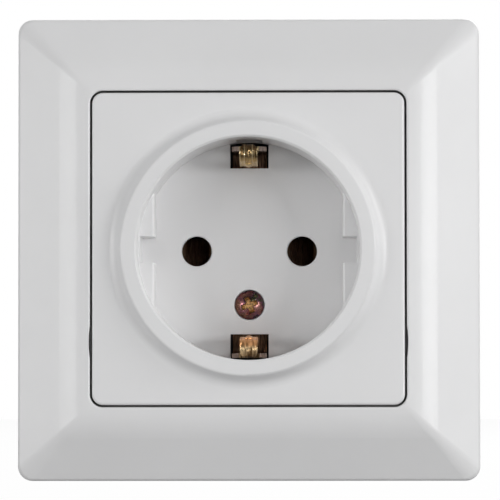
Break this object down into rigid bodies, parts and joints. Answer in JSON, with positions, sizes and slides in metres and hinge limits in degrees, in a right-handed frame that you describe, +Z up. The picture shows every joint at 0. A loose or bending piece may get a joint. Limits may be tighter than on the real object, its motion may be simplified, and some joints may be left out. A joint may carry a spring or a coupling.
{
  "type": "type f wall socket",
  "caption": "Flush wall socket with side earth clips: bevelled square frame, centre plate with round plug recess, and the insert behind it with spreading claws.",
  "frame": {"origin": "centre of the two box-screw slots, on the wall surface (the support bracket's back face)", "axes": "+X right seen from the room, +Y into the wall, +Z up"},
  "size_m": [0.082, 0.0403, 0.082],
  "materials": {
    "white_gloss": "satin",
    "dark_insulator": "matte",
    "zinc_steel": "satin",
    "spring_steel": "satin",
    "brass": "satin",
    "yellow_zinc": "gloss"
  },
  "bodies": {
    "insert": {"cover_frame": "white_gloss", "centre_plate": "white_gloss", "cover_screw": "yellow_zinc", "cover_screw_nut": "zinc_steel", "support_bracket": "zinc_steel", "bracket_screws": "zinc_steel", "spacer_ring": "dark_insulator", "base_housing": "dark_insulator", "earth_strap": "brass", "earth_terminal_screw": "yellow_zinc", "earth_terminal_clamp": "zinc_steel", "line_contact_left": "brass", "contact_spring_left": "spring_steel", "line_terminal_screw_left": "yellow_zinc", "line_terminal_clamp_left": "zinc_steel", "claw_pin_left": "zinc_steel", "line_contact_right": "brass", "contact_spring_right": "spring_steel", "line_terminal_screw_right": "yellow_zinc", "line_terminal_clamp_right": "zinc_steel", "claw_pin_right": "zinc_steel"},
    "claw_left_body": {"claw_left": "zinc_steel"},
    "claw_right_body": {"claw_right": "zinc_steel"},
    "claw_screw_left_body": {"claw_screw_left": "yellow_zinc"},
    "claw_screw_right_body": {"claw_screw_right": "yellow_zinc"}
  },
  "joints": [
    {"name": "claw_swing_left", "type": "hinge", "parent": "insert", "child": "claw_left_body", "pos_m": [-0.022, 0.0102, 0], "axis": [0, 0, 1], "range_deg": [0, 21]},
    {"name": "claw_screw_turn_left", "type": "hinge", "parent": "insert", "child": "claw_screw_left_body", "pos_m": [-0.0254, 0, 0], "axis": [0, 1, 0], "range_deg": [0, 900]},
    {"name": "claw_swing_right", "type": "hinge", "parent": "insert", "child": "claw_right_body", "pos_m": [0.022, 0.0102, 0], "axis": [0, 0, -1], "range_deg": [0, 21]},
    {"name": "claw_screw_turn_right", "type": "hinge", "parent": "insert", "child": "claw_screw_right_body", "pos_m": [0.0254, 0, 0], "axis": [0, 1, 0], "range_deg": [0, 900]}
  ],
  "couplings": [
    {"joint": "claw_screw_turn_left", "follows": "claw_swing_left", "ratio": 42.726},
    {"joint": "claw_screw_turn_right", "follows": "claw_swing_right", "ratio": 42.726}
  ]
}
